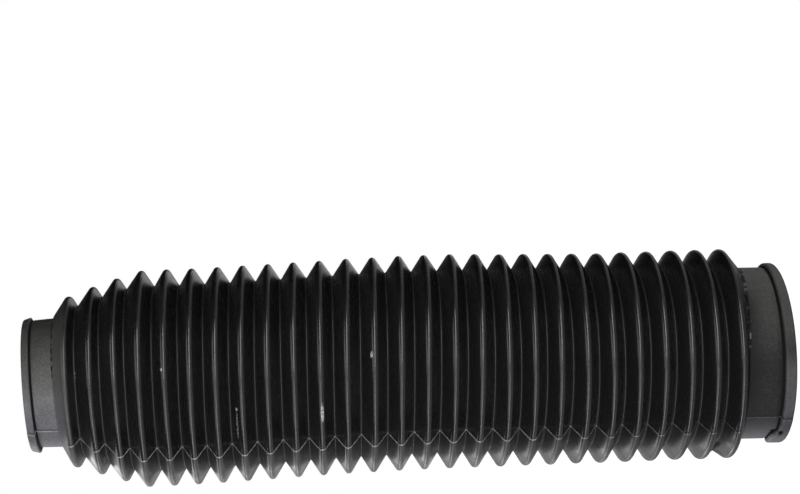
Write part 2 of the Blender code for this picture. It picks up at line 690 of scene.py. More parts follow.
@dataclass
class Folds:
    """The bellows between the collars. Folds are counted from the small end.

    Attributes:
        crest_radius: radius over the full folds.
        top: height of the first crest.
        count: number of folds.
        pitch: distance between full folds.
        depth: depth of the grooves between full folds.
        wall: thickness of the wall.
        crest_rounding: rounding of the crests.
        valley_rounding: rounding of the grooves' bottoms.
        inner_rounding: rounding of the crests on the inside.
        tapered: number of folds that are smaller than the rest.
        taper_pitch: distance between those.
        taper_depth: depth of the grooves between those.
        taper_exponent: curve on which they grow.
        first_crest_radius: radius over the first fold.
        swell: what the folds are wider or narrower than true, along the height.
        stretch: how far the folds have moved along the axis by being handled.
        nod: slope by which each fold sinks towards the front, along the height.
        unevenness: differences between one fold and the next.
        web: the web in one groove.
    """

    crest_radius: float
    top: float
    count: int = 27
    pitch: float = 8.57 * MM
    depth: float = 5.5 * MM
    wall: float = 1.6 * MM
    crest_rounding: float = 1.25 * MM
    valley_rounding: float = 0.22 * MM
    inner_rounding: float = 0.4 * MM
    tapered: int = 3
    taper_pitch: float = 8.3 * MM
    taper_depth: float = 4.8 * MM
    taper_exponent: float = 1.12
    first_crest_radius: float = 28.65 * MM
    swell: Sway = Sway(
        0.155 * MM, ((0.41 * MM, 83.6 * MM, 355.0 * MM), (0.119 * MM, 92.5 * MM, 95.0 * MM)),
    )
    stretch: Sway = Sway(
        0.644 * MM, ((0.262 * MM, 115.1 * MM, 235.0 * MM), (0.388 * MM, 15.4 * MM, 130.0 * MM)),
    )
    nod: Sway = Sway(
        -0.00531, ((0.04587, 202.3 * MM, 220.0 * MM), (0.03858, 85.9 * MM, 300.0 * MM)),
    )
    unevenness: Unevenness = field(default_factory=Unevenness)
    web: Web = field(default_factory=Web)

    def radii(self) -> Array:
        """Radius over each fold.

        It is the full radius, less the first fold's shortfall times share^exponent, where the share
        falls evenly from 1 at the first fold to 0 at the first full one.

        Returns:
            (fold,) radii.
        """
        share = np.clip((self.tapered - np.arange(self.count)) / self.tapered, 0.0, 1.0)
        shortfall = self.crest_radius - self.first_crest_radius
        return self.crest_radius - shortfall * share ** self.taper_exponent

    def heights(self) -> Array:
        """Height of each crest before it is moved: the top less the gaps above the crest.

        Returns:
            (fold,) heights.
        """
        plain = self.count - 1 - self.tapered
        gaps = np.array([0.0] + [self.taper_pitch] * self.tapered + [self.pitch] * plain)
        return self.top - np.cumsum(gaps)

    def centres(self, angles: Array) -> Array:
        """Centres of the crests' roundings.

        A crest's height is its true one plus the stretch there, and it sinks by the nod times its
        radius times the sine of the angle. Its radius is its true one plus the swell there.

        Args:
            angles: angles round the axis.

        Returns:
            (fold, angle, 2) centres.
        """
        radial, axial = self.unevenness.offsets(self.count, angles)
        heights = self.heights()
        moved = heights + self.stretch.at(heights)
        radius = self.radii() + self.swell.at(heights) - self.crest_rounding
        sunk = (self.nod.at(heights) * radius)[:, None] * np.sin(np.radians(angles))
        return np.stack([radius[:, None] + radial, moved[:, None] + axial + sunk], axis=-1)

    def grooves(self, centres: Array, angles: Array) -> Array:
        """Centres of the grooves' roundings.

        A groove's bottom lies `depth` below the mean of its two crests, and divides the distance
        between them so that both flanks slope alike.

        Args:
            centres: centres of the crests' roundings.
            angles: angles round the axis.

        Returns:
            (groove, angle, 2) centres.
        """
        tops = centres + np.array([self.crest_rounding, 0.0])
        upper, lower = tops[:-1], tops[1:]
        tapered = np.arange(self.count - 1)[:, None] < self.tapered
        depth = np.where(tapered, self.taper_depth, self.depth)
        mean = (upper[..., 0] + lower[..., 0]) / 2
        full_bottom = mean - depth
        share = (upper[..., 0] - full_bottom) / (upper[..., 0] + lower[..., 0] - 2 * full_bottom)
        bottom = full_bottom + self.web.lift(self.count - 1, angles)
        height = upper[..., 1] + (lower[..., 1] - upper[..., 1]) * share
        return np.stack([bottom + self.valley_rounding, height], axis=-1)

    def corners(
        self, angles: Array, small_foot: Array, large_foot: Array,
    ) -> tuple[Corners, Corners, Array, Array]:
        """Corners of the folds outside and inside.

        Outside, a crest's corner is its rounding's centre plus the mitre of its flanks' normals
        times the rounding, and a groove's is its centre less the mitre times its rounding. Inside,
        both lie one wall thickness further in.

        Args:
            angles: angles round the axis.
            small_foot: (angle, 2) foot of the first flank.
            large_foot: (angle, 2) foot of the last flank.

        Returns:
            Corners outside and inside, both from the small end down, and the normals of the first
            and the last flank, both (angle, 2).
        """
        centres = self.centres(angles)
        grooves = self.grooves(centres, angles)
        valley = self.crest_rounding + self.valley_rounding
        upper = np.concatenate([
            flank_normals(centres[:1], small_foot[None], self.crest_rounding),
            flank_normals(centres[1:], grooves, valley),
        ])
        lower = np.concatenate([
            flank_normals(centres[:-1], grooves, valley),
            flank_normals(centres[-1:], large_foot[None], self.crest_rounding),
        ])
        crest_mitre = mitre(upper, lower)
        groove_mitre = mitre(lower[:-1], upper[1:])

        def interleaved(crests: Array, valleys: Array) -> Array:
            """Puts crests and grooves in turn.

            Args:
                crests: (fold, ...) values of the crests.
                valleys: (groove, ...) values of the grooves, one fewer.

            Returns:
                Crest, groove, crest and so on, along the first axis.
            """
            joined = np.empty((2 * self.count - 1, *crests.shape[1:]))
            joined[::2], joined[1::2] = crests, valleys
            return joined

        def layer(
            inset: float, crest_arc: float, valley_arc: float, points: tuple[int, int],
            regions: tuple[Region, Region],
        ) -> Corners:
            """The folds' corners on one surface of the wall.

            Args:
                inset: how far it lies under the outside.
                crest_arc: rounding of its crests.
                valley_arc: rounding of its grooves.
                points: points on the arcs of a crest and of a groove.
                regions: what crests and grooves belong to.

            Returns:
                Its corners from the small end down.
            """
            place = interleaved(
                centres + crest_mitre * (self.crest_rounding - inset),
                grooves - groove_mitre * (self.valley_rounding + inset),
            )
            kinds = np.arange(2 * self.count - 1) % 2
            rounding = np.where(kinds, valley_arc, crest_arc)[:, None] * np.ones_like(angles)
            return Corners(
                place, rounding, np.array(points)[kinds],
                np.array([int(region) for region in regions])[kinds],
                np.arange(2 * self.count - 1) / 2,
            )

        outside = layer(
            0.0, self.crest_rounding, self.valley_rounding, (7, 3), (Region.CREST, Region.VALLEY),
        )
        inside = layer(
            self.wall, self.inner_rounding, self.valley_rounding + self.wall, (3, 4),
            (Region.INNER_FOLD, Region.INNER_FOLD),
        )
        return outside, inside, upper[0], lower[-1]

    def meets_bore(self, foot: Array, normal: Array, bore: float) -> Array:
        """(angle,) height at which the inside of an end flank runs into a bore of that radius."""
        offset = dot(foot, normal)[..., 0] - self.wall
        return (offset - normal[..., 0] * bore) / normal[..., 1]


@dataclass
class BowedAxis:
    """Axis of the gaiter: straight up from the floor, with a slight bow towards +X.

    Attributes:
        bow: how far the axis stands off at its middle.
        middle: height of the middle.
        drift: how far the axis strays from that bow, along the height.
        lean: slope of the rings beyond square to the bow, along the height.
        settle: height over which the rings turn from level, at the floor, to their full tilt.
    """

    bow: float = 2.24 * MM
    middle: float = 129.7 * MM
    drift: Sway = Sway(
        0.0, ((0.265 * MM, 258.1 * MM, 310.0 * MM), (0.388 * MM, 96.7 * MM, 130.0 * MM)),
    )
    lean: Sway = Sway(0.01772, ((0.01387, 66.6 * MM, 265.0 * MM), (0.00661, 83.9 * MM, 105.0 * MM)))
    settle: float = 45.0 * MM

    def place(self, rows: Array, angles: Array) -> Array:
        """Points in space.

        The axis stands bow (1 - ((z - middle) / middle)^2) off at height z, plus its drift since
        the floor. A ring is tilted by the arc tangent of the bow's slope there plus the lean, times
        a smooth step over the settling height, and a point on it is the axis's point plus its
        radius along the tilted ring.

        Args:
            rows: (row, angle, 2) radius and height.
            angles: angles round the axis.

        Returns:
            (row, angle, 3) points.
        """
        radius, height = rows[..., 0], rows[..., 1]
        share = (height - self.middle) / self.middle
        offset = self.bow * (1.0 - share ** 2) + self.drift.at(height) - self.drift.at(0.0)
        slope = -2.0 * self.bow * share / self.middle + self.lean.at(height)
        tilt = np.arctan(slope) * smooth_step(height / self.settle)
        turn = np.radians(angles)[None]
        across = radius * np.cos(turn)
        return np.stack([
            offset + across * np.cos(tilt),
            radius * np.sin(turn),
            height - across * np.sin(tilt),
        ], axis=-1)


class Signal:
    """One output of a shader node. Arithmetic on it adds Math nodes."""

    def __init__(self, graph: "Graph", socket: bpy.types.NodeSocket) -> None:
        """Wraps an output socket of one graph."""
        self.graph = graph
        self.socket = socket

    def __add__(self, other: "Value") -> "Signal":
        """self + other."""
        return self.graph.maths("ADD", self, other)

    def __sub__(self, other: "Value") -> "Signal":
        """self - other."""
        return self.graph.maths("SUBTRACT", self, other)

    def __rsub__(self, other: "Value") -> "Signal":
        """other - self."""
        return self.graph.maths("SUBTRACT", other, self)

    def __mul__(self, other: "Value") -> "Signal":
        """self * other."""
        return self.graph.maths("MULTIPLY", self, other)

    __radd__ = __add__
    __rmul__ = __mul__

    def within(self, centre: Triple, reach: Triple) -> "Signal":
        """Distance of a point from a centre, where the reach along each axis counts as 1.

        Args:
            centre: the centre.
            reach: what counts as 1 along each axis.

        Returns:
            The length of (point - centre) / reach.
        """
        factors = tuple(1.0 / length for length in reach)
        offset = tuple(-middle / length for middle, length in zip(centre, reach))
        scaled = self.graph.result(
            "ShaderNodeVectorMath", 0, {"operation": "MULTIPLY_ADD"}, {0: self, 1: factors, 2: offset},
        )
        return self.graph.result("ShaderNodeVectorMath", "Value", {"operation": "LENGTH"}, {0: scaled})

    def step(self, low: float, high: float) -> "Signal":
        """Smooth step of the signal from 0 at low to 1 at high, which may be the smaller one."""
        return self.graph.result(
            "ShaderNodeMapRange", "Result", {"interpolation_type": "SMOOTHSTEP"},
            {"Value": self, "From Min": low, "From Max": high},
        )


Value = Union[Signal, float]


@dataclass(frozen=True)
class Grain:
    """Smooth noise from 0 to 1 round 0.5.

    Attributes:
        scale: cells in a metre, or in one unit of the vector at which it is read.
        detail: how many finer noises are added to it.
        roughness: strength of each of those, as a share of the one before.
    """

    scale: float
    detail: float = 2.0
    roughness: float = 0.5


class Graph:
    """Node tree of one material or world."""

    def __init__(self, tree: bpy.types.NodeTree) -> None:
        """Empties the tree and keeps it."""
        tree.nodes.clear()
        self.tree = tree

    def node(
        self, kind: str, settings: Optional[dict[str, Any]] = None,
        inputs: Optional[dict[Union[str, int], Any]] = None,
    ) -> bpy.types.Node:
        """Adds a node.

        Args:
            kind: the node's type.
            settings: its attributes, which are set first.
            inputs: values or signals for its sockets, by name or number.

        Returns:
            The node.
        """
        made = self.tree.nodes.new(kind)
        for name, value in (settings or {}).items():
            setattr(made, name, value)
        for name, value in (inputs or {}).items():
            if isinstance(value, Signal):
                self.tree.links.new(value.socket, made.inputs[name])
            else:
                made.inputs[name].default_value = value
        return made

    def result(
        self, kind: str, output: Union[str, int], settings: Optional[dict[str, Any]] = None,
        inputs: Optional[dict[Union[str, int], Any]] = None,
    ) -> Signal:
        """One output of a new node, by name or number."""
        return Signal(self, self.node(kind, settings, inputs).outputs[output])

    def maths(self, operation: str, *values: Value) -> Signal:
        """Result of a Math node."""
        return self.result("ShaderNodeMath", 0, {"operation": operation}, dict(enumerate(values)))

    def attribute(self, name: str, output: str = "Fac") -> Signal:
        """One of the mesh's own attributes."""
        return self.result("ShaderNodeAttribute", output, {"attribute_name": name})

    def scaled(self, vector: Signal, factors: Triple) -> Signal:
        """A vector with each of its parts multiplied."""
        return self.result("ShaderNodeVectorMath", 0, {"operation": "MULTIPLY"}, {0: vector, 1: factors})

    def along(self, vector: Signal, way: Triple) -> Signal:
        """How far a vector goes along a way: their dot product."""
        settings = {"operation": "DOT_PRODUCT"}
        return self.result("ShaderNodeVectorMath", "Value", settings, {0: vector, 1: way})

    def noise(self, vector: Signal, grain: Grain) -> Signal:
        """One kind of noise, read at a vector."""
        sockets = {"Scale": grain.scale, "Detail": grain.detail, "Roughness": grain.roughness}
        return self.result("ShaderNodeTexNoise", "Fac", inputs={"Vector": vector, **sockets})

    def blend(self, factor: Value, first: Any, second: Any) -> Signal:
        """Colour between two: the first where the factor is 0 and the second where it is 1."""
        return self.result("ShaderNodeMix", 2, {"data_type": "RGBA"}, {0: factor, 6: first, 7: second})


def grey(level: float, blue: float = 1.0) -> tuple[float, float, float, float]:
    """Grey of that linear level, with its blue part multiplied."""
    return (level, level, level * blue, 1.0)


@dataclass(frozen=True)
class Scuff:
    """Speckled pale mark on the rubber.

    Attributes:
        place: its middle.
        reach: half its size along each axis.
        cover: share of it that is pale, from 0 to 1.
    """

    place: Triple
    reach: Triple
    cover: float = 0.5

    def mask(self, place: Signal, grain: Signal) -> Signal:
        """1 on the mark's pale specks: where the grain is past a level that falls with the cover."""
        near = place.within(self.place, self.reach).step(1.0, 0.5)
        return near * grain.step(0.62 - 0.3 * self.cover, 0.72 - 0.3 * self.cover)


@dataclass(frozen=True)
class RubberFinish:
    """Black rubber: satin folds with fine rings left by the mould's turning, and duller collars.

    Attributes:
        fold_level: grey of the folds.
        crest_level: grey of worn crests.
        collar_level: grey of the collars where they are bare.
        bloom_gain: grey that their bloom and painted sheen add.
        warm_light_tint: blue part of their bloom colour towards +X, a painted warm light.
        cool_light_tint: blue part of it towards -X, a painted cool light.
        tint_from: place along X below which the painted light on the collars turns from warm to blue.
        tint_to: place along X from which it is all blue.
        shade_and_gap_level: grey of the painted shade in creases, in the lip's pit, beside the last fold
            and beside the seam, and of the dark gaps in torn edges.
        fray_highlight_level: grey of the painted highlights on the frayed edges beside the torn ones.
        flash_highlight_level: grey of the painted highlight along the flash.
        seam_shade: strength of the line of painted shade beside it.
        scuff_level: grey of the scuffs.
        fold_roughness: roughness of the folds.
        collar_roughness: roughness of the collars.
        fold_gloss: strength of the folds' reflection, where 0.5 is that of plain rubber.
        collar_gloss: strength of the collars' reflection.
        bloom_least: share of its cover that the bloom has where there is no noise.
        bloom_cloud: what the clouds add to that share.
        bloom_specks: what the specks add to it.
        stray_specks: cover of the specks outside the bloom.
        ring_swing: how much the rings change the roughness.
        cloud_swing: how much the clouds change it.
        far_swing: how much more they change it on the half that turns away.
        far_polish: how much smoother that half is between the clouds.
        groove_dulling: roughness that the grooves add.
        crease_dulling: roughness that creases and tears add.
        ring_relief: height of the rings in the relief.
        grain_relief: height of the grain.
        speck_relief: height of the collars' specks.
        bump_strength: strength of the relief.
        bump_height: height of the relief.
        rings: noise of the fine rings.
        grain: noise of the rubber's grain.
        cloud: noise of the bloom and of the wear.
        speckle: noise of the specks in the bloom.
        frays: noise of the torn edges.
        breaks: noise that breaks the flash's pale line.
        specks: noise of the scuffs.
        ring_stretch: cells in a metre of the fine rings, round the axis and along the section.
        scuffs: the pale marks.
    """

    fold_level: float = 0.0062
    crest_level: float = 0.022
    collar_level: float = 0.007
    bloom_gain: float = 0.155
    warm_light_tint: float = 0.96
    cool_light_tint: float = 1.13
    tint_from: float = 0.012
    tint_to: float = -0.018
    shade_and_gap_level: float = 0.002
    fray_highlight_level: float = 0.12
    flash_highlight_level: float = 0.32
    seam_shade: float = 0.8
    scuff_level: float = 0.4
    fold_roughness: float = 0.27
    collar_roughness: float = 0.45
    fold_gloss: float = 0.65
    collar_gloss: float = 0.22
    bloom_least: float = 0.4
    bloom_cloud: float = 0.9
    bloom_specks: float = 0.22
    stray_specks: float = 0.07
    ring_swing: float = 0.16
    cloud_swing: float = 0.10
    far_swing: float = 0.7
    far_polish: float = 0.25
    groove_dulling: float = 0.22
    crease_dulling: float = 0.4
    ring_relief: float = 0.35
    grain_relief: float = 0.35
    speck_relief: float = 0.4
    bump_strength: float = 0.35
    bump_height: float = 0.04 * MM
    rings: Grain = Grain(1.0, 3.0)
    grain: Grain = Grain(2400.0, 3.0, 0.6)
    cloud: Grain = Grain(90.0, 4.0, 0.6)
    speckle: Grain = Grain(1500.0, 2.0, 0.7)
    frays: Grain = Grain(600.0, 3.0, 0.6)
    breaks: Grain = Grain(900.0, 2.0, 0.6)
    specks: Grain = Grain(2100.0)
    ring_stretch: Triple = (70.0, 70.0, 2600.0)
    scuffs: tuple[Scuff, ...] = (
        Scuff((-0.0077, -0.0353, 0.1563), (0.0045, 0.002, 0.0006), 0.8),
        Scuff((0.0107, -0.0347, 0.1398), (0.0014, 0.001, 0.0008), 0.7),
        Scuff((0.0088, -0.0354, 0.2073), (0.0007, 0.0010, 0.0004), 1.0),
        Scuff((0.0060, -0.0249, 0.2362), (0.0022, 0.001, 0.0003), 0.25),
        Scuff((-0.0054, -0.0341, 0.1839), (0.0007, 0.001, 0.0006), 1.0),
        Scuff((-0.0110, -0.0325, 0.1839), (0.0062, 0.005, 0.0004), 0.5),
    )

    def material(self) -> bpy.types.Material:
        """Builds the material: glossy rubber on the folds, dull rubber on the collars.

        Both have one colour, to which bloom with painted sheen, painted shade beside the last fold, tears
        with painted highlights on their frays, painted shade in creases, the seam's painted highlight and
        shade line, and the scuffs are added in turn, each as a blend by the mesh's attribute of that name,
        broken up by noise.

        Returns:
            The material.
        """
        made = bpy.data.materials.new("black_rubber")
        made.use_nodes = True
        graph = Graph(made.node_tree)
        place = graph.result("ShaderNodeTexCoord", "Object")
        turned = graph.scaled(graph.attribute("turned", "Vector"), self.ring_stretch)
        rings = graph.noise(turned, self.rings)
        grain = graph.noise(place, self.grain)
        cloud = graph.noise(place, self.cloud)
        speckle = graph.noise(place, self.speckle).step(0.42, 0.66)
        frays = graph.noise(place, self.frays)
        specks = graph.noise(place, self.specks)
        collar = graph.attribute("collar")
        # Dark grey of all painted shade, and of the tears' gaps
        crease = grey(self.shade_and_gap_level)

        # Worn crests on the folds, and bloom on the collars with painted sheen, tinted warm towards +X and
        # blue below by painted light
        worn = graph.attribute("crest") * cloud.step(0.45, 0.75) * grain.step(0.4, 0.7)
        folds = graph.blend(worn, grey(self.fold_level), grey(self.crest_level))
        patchy = speckle * self.bloom_specks + cloud * self.bloom_cloud + self.bloom_least
        covered = graph.attribute("bloom") * patchy + speckle * self.stray_specks
        full = self.collar_level + self.bloom_gain
        across = graph.result("ShaderNodeSeparateXYZ", "X", inputs={"Vector": place})
        tint = across.step(self.tint_from, self.tint_to)
        lit_bloom_colour = graph.blend(tint, grey(full, self.warm_light_tint), grey(full, self.cool_light_tint))
        colour = graph.blend(collar, folds, graph.blend(covered, grey(self.collar_level), lit_bloom_colour))
        # Painted shade along the large collar's root, beside the last fold
        colour = graph.blend(graph.attribute("grime"), colour, crease)

        # Tears: painted highlights on the frays, and dark gaps, where the noise is low and high
        torn = graph.attribute("torn").step(0.08, 0.4)
        colour = graph.blend(torn * frays.step(0.46, 0.38), colour, grey(self.fray_highlight_level))
        # Dark gaps in the tears, and painted shade in the creases and the pit
        dark = graph.maths(
            "MAXIMUM", torn * frays.step(0.45, 0.5), graph.attribute("crease").step(0.05, 0.35),
        )
        colour = graph.blend(dark, colour, crease)

        # The seam's painted highlight, with a line of painted shade beside it, and the scuffs
        colour = graph.blend(graph.attribute("seam_shade") * self.seam_shade, colour, crease)
        broken = graph.noise(place, self.breaks).step(0.38, 0.58) * 0.5 + 0.5
        flash = graph.attribute("seam").step(0.3, 0.65) * broken
        colour = graph.blend(flash, colour, grey(self.flash_highlight_level))
        pale = sum(scuff.mask(place, specks) for scuff in self.scuffs)
        colour = graph.blend(graph.maths("MINIMUM", pale, 1.0), colour, grey(self.scuff_level))

        # Duller in the grooves, on the collars and in patches of the half that turns away
        swings = (rings - 0.5) * self.ring_swing + (cloud - 0.5) * self.cloud_swing
        roughness = swings + self.fold_roughness
        roughness = roughness + graph.attribute("far_half") * (cloud * self.far_swing - self.far_polish)
        roughness = roughness + graph.attribute("groove") * self.groove_dulling
        roughness = roughness + collar * (self.collar_roughness - self.fold_roughness)
        roughness = roughness + dark * self.crease_dulling
        relief = rings * self.ring_relief + grain * self.grain_relief + collar * speckle * self.speck_relief
        bump = {"Strength": self.bump_strength, "Distance": self.bump_height, "Height": relief}
        looks = {
            "Base Color": colour,
            "Roughness": roughness,
            "Normal": graph.result("ShaderNodeBump", "Normal", inputs=bump),
        }
        glossy, dull = (
            graph.result("ShaderNodeBsdfPrincipled", 0, inputs={**looks, "Specular IOR Level": gloss})
            for gloss in (self.fold_gloss, self.collar_gloss)
        )
        surface = graph.result("ShaderNodeMixShader", 0, inputs={0: collar, 1: glossy, 2: dull})
        graph.node("ShaderNodeOutputMaterial", inputs={"Surface": surface})
        return made


@dataclass(frozen=True)
class BloomAndSheen:
    """Pale bloom on the collars.

    The large one has it towards +X, from where it fades down the front, and on the far half, where
    it grows with the way from the seam. The small one has it everywhere, but less towards +X. Just
    above the seam there is more on the small one, and on the large one's lip. Only the even cover
    is bloom; the changes by side are painted light: a painted sheen towards +X on the large one and
    painted shade there on the small one, a painted reflection on the far half, and a painted
    highlight just above the seam and on the large lip.

    Attributes:
        top: the stretch towards +X.
        low: the stretch just above the seam.
        far_least: strength of the far half's painted reflection at the seam.
        far_growth: angle past the seam over which it grows to 1.
        large: cover of the large collar: everywhere, and the painted light added at the top, on the
            far half, on the lip, and on the lip's low stretch.
        small: cover of the small collar: everywhere, and the painted light and shade added at the top,
            on the far half and on the low stretch.
    """

    top: Stretch = Stretch(265.0, 320.0, 80.0)
    low: Stretch = Stretch(224.1, 58.0, 16.0)
    far_least: float = 0.12
    far_growth: float = 34.0
    large: tuple[float, ...] = (0.015, 0.47, 0.95, 0.06, 0.34)
    small: tuple[float, ...] = (0.56, -0.35, 0.3, 0.16)

    def cover(self, small: Array, lip: Array, angles: Array, seam: MouldSeam) -> Array:
        """How much of the rubber the bloom covers.

        Args:
            small: (row,) 1 at the small end and 0 at the large one.
            lip: (row,) 1 on a lip.
            angles: angles round the axis.
            seam: the seam that the far half starts from.

        Returns:
            (row, angle) cover, from 0 to 1.
        """
        past = (seam.angle - angles) % FULL_TURN
        growth = self.far_least + (1.0 - self.far_least) * smooth_step(past / self.far_growth)
        top, low, far = self.top.at(angles), self.low.at(angles), seam.far_half(angles) * growth
        # The top, far-half, low and lip terms are painted light and shade by side; the base is the bloom
        base, at_top, at_far, at_lip, at_low = self.large
        on_large = base + at_top * top + at_far * far + lip[:, None] * (at_lip + at_low * low)
        base, at_top, at_far, at_low = self.small
        on_small = base + at_top * top + at_far * far + at_low * low
        return np.clip(np.where(small[:, None], on_small, on_large), 0.0, 1.0)


@dataclass(frozen=True)
class TearsAndShade:
    """Torn edges where the folds meet the collars, and painted shade beside the last fold.

    Attributes:
        torn: the stretch with torn edges.
        torn_beside: strength of a tear on the straights beside the rounding, which has 1.
        torn_small: strength of the small end's tear, where the large end's is 1.
        shaded_stretch: the stretch with painted shade.
        grime: strength of the painted shade at the fold.
        grime_reach: how far it reaches along the large collar.
    """

    torn: Stretch = Stretch(-85.0, 100.0, 14.0)
    torn_beside: float = 0.35
    torn_small: float = 0.45
    shaded_stretch: Stretch = Stretch(222.0, 116.0, 34.0)
    grime: float = 0.85
    grime_reach: float = 4.5 * MM

    def tears(self, rows: Rows, small: Array, angles: Array) -> Array:
        """Strength of the tears: that of the row times that of the angle.

        Args:
            rows: the surface's rows.
            small: (row,) 1 at the small end and 0 at the large one.
            angles: angles round the axis.

        Returns:
            (row, angle) strengths, from 0 to 1.
        """
        arcs = self.torn_beside + (1.0 - self.torn_beside) * rows.on_arc
        strength = (rows.region == Region.ROOT) * arcs * np.where(small, self.torn_small, 1.0)
        return strength[:, None] * self.torn.at(angles)

    def shade_at_root(self, rows: Rows, small: Array, angles: Array) -> Array:
        """Strength of the painted shade, which fades evenly along the large collar from its root.

        Args:
            rows: the surface's rows.
            small: (row,) 1 at the small end and 0 at the large one.
            angles: angles round the axis.

        Returns:
            (row, angle) strengths, from 0 to 1.
        """
        away = rows.way_to((rows.region == Region.ROOT) & ~small) / self.grime_reach
        strength = np.clip(1.0 - away, 0.0, 1.0) * np.isin(rows.region, (Region.COLLAR, Region.ROOT))
        return self.grime * strength[:, None] * self.shaded_stretch.at(angles)


@dataclass
class Gaiter:
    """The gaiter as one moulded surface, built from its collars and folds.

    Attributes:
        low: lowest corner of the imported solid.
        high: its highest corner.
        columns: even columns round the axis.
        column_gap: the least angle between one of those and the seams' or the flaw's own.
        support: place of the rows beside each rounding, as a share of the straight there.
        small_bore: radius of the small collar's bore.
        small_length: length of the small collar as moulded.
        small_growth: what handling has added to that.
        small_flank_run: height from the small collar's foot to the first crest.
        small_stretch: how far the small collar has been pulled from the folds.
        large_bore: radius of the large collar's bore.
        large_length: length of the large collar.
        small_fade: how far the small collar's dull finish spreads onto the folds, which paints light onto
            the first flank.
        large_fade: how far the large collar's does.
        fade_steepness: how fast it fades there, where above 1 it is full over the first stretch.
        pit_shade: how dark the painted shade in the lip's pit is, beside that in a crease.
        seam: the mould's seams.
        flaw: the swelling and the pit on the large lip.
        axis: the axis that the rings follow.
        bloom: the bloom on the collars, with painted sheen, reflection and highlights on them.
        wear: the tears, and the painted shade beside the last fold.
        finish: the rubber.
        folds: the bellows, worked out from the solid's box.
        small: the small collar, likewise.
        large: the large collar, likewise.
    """

    low: Vector
    high: Vector
    columns: int = 112
    column_gap: float = 0.7
    support: float = 0.1
    small_bore: float = 19.6 * MM
    small_length: float = 10.2 * MM
    small_growth: float = 0.73 * MM
    small_flank_run: float = 4.4 * MM
    small_stretch: float = 0.985 * MM
    large_bore: float = 27.5 * MM
    large_length: float = 12.9 * MM
    small_fade: float = 8.0 * MM
    large_fade: float = 4.0 * MM
    fade_steepness: float = 2.2
    pit_shade: float = 0.5
    seam: MouldSeam = field(default_factory=MouldSeam)
    flaw: LipFlaw = field(default_factory=LipFlaw)
    axis: BowedAxis = field(default_factory=BowedAxis)
    bloom: BloomAndSheen = BloomAndSheen()
    wear: TearsAndShade = TearsAndShade()
    finish: RubberFinish = RubberFinish()
    folds: Folds = field(init=False)
    small: Collar = field(init=False)
    large: Collar = field(init=False)

    def __post_init__(self) -> None:
        """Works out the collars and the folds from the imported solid's box."""
        top = self.high.z - self.low.z
        self.folds = Folds((self.high.x - self.low.x) / 2, top - self.small_length - self.small_flank_run)
        self.small = Collar(
            End.SMALL, top + self.small_stretch, self.small_bore, self.small_length + self.small_growth,
            lip_width=2.6 * MM, lip_sag=0.9 * MM, lip_back_rounding=0.22 * MM, lip_taper=0.75 * MM,
            flare=0.3 * MM, face_nod=0.0684, face_tip=-0.0058, root_nod=0.0323, root_tip=0.018,
            step=1.0 * MM,
        )
        self.large = Collar(
            End.LARGE, 0.0, self.large_bore, self.large_length, lip_rise=1.5 * MM,
            lip_rounding=0.7 * MM, lip_back_rounding=0.7 * MM, root_nod=-0.094, root_tip=-0.018,
            flaw=self.flaw,
        )

    def angles(self) -> Array:
        """Angles of all columns: even ones from the seam on, and the seams' and the flaw's own.

        Returns:
            (column,) angles from 0 to 360, in order.
        """
        even = self.seam.angle + np.arange(self.columns) * FULL_TURN / self.columns
        own = np.concatenate([self.seam.columns(), self.flaw.columns()])
        apart = np.abs(angle_from(even[:, None], own[None])).min(axis=1) > self.column_gap
        return np.sort(np.concatenate([even[apart], own]) % FULL_TURN)

    def section(self, angles: Array) -> Corners:
        """Closed section of the wall.

        Args:
            angles: angles round the axis.

        Returns:
            Its corners, down the outside from the small end and back up the inside.
        """
        small_foot, large_foot = self.small.root(angles), self.large.root(angles)
        outside, inside, first, last = self.folds.corners(angles, small_foot, large_foot)
        final = self.folds.count - 1
        small_meets = self.folds.meets_bore(small_foot, first, self.small.bore)
        large_meets = self.folds.meets_bore(large_foot, last, self.large.bore)
        rounding = self.folds.inner_rounding
        return Corners.join([
            self.small.outside(angles, 0),
            outside,
            self.large.outside(angles, final).backwards(),
            Corners.row(self.large.bore, large_meets, angles, Region.BORE, final, rounding, 3),
            inside.backwards(),
            Corners.row(self.small.bore, small_meets, angles, Region.BORE, 0, rounding, 3),
        ])

    def unrolled(self, angles: Array, travel: Array) -> Array:
        """Place of each point on a cylinder as wide as the folds and as high as the section is long.

        Args:
            angles: angles round the axis.
            travel: distance of each row along the section.

        Returns:
            (row, angle, 3) points, at which the finish reads its fine rings.
        """
        turns, radius = np.radians(angles), self.folds.crest_radius
        parts = np.broadcast_arrays(np.cos(turns) * radius, np.sin(turns) * radius, travel[:, None])
        return np.stack(parts, axis=-1)

    def shades(self, rows: Rows, heights: Array, pit: Array, angles: Array) -> dict[str, Array]:
        """What the finish reads from the surface.

        A collar's dull finish fades onto the folds with the distance along the section, which at the small
        end paints light onto the first flank.

        Args:
            rows: the surface's rows.
            heights: (row, angle) height of each point.
            pit: (row, angle) 1 in the middle of the lip's pit and 0 away from it.
            angles: angles round the axis.

        Returns:
            (row, angle) values from 0 to 1, by the name of the attribute.
        """
        region, ones = rows.region, np.ones_like(pit)
        small = rows.fold < self.folds.count / 2
        outer = (region < Region.BORE).astype(float)
        collar = np.isin(region, (Region.LIP, Region.CREASE, Region.COLLAR, Region.ROOT))
        away = rows.way_to(collar) / np.where(small, self.small_fade, self.large_fade)
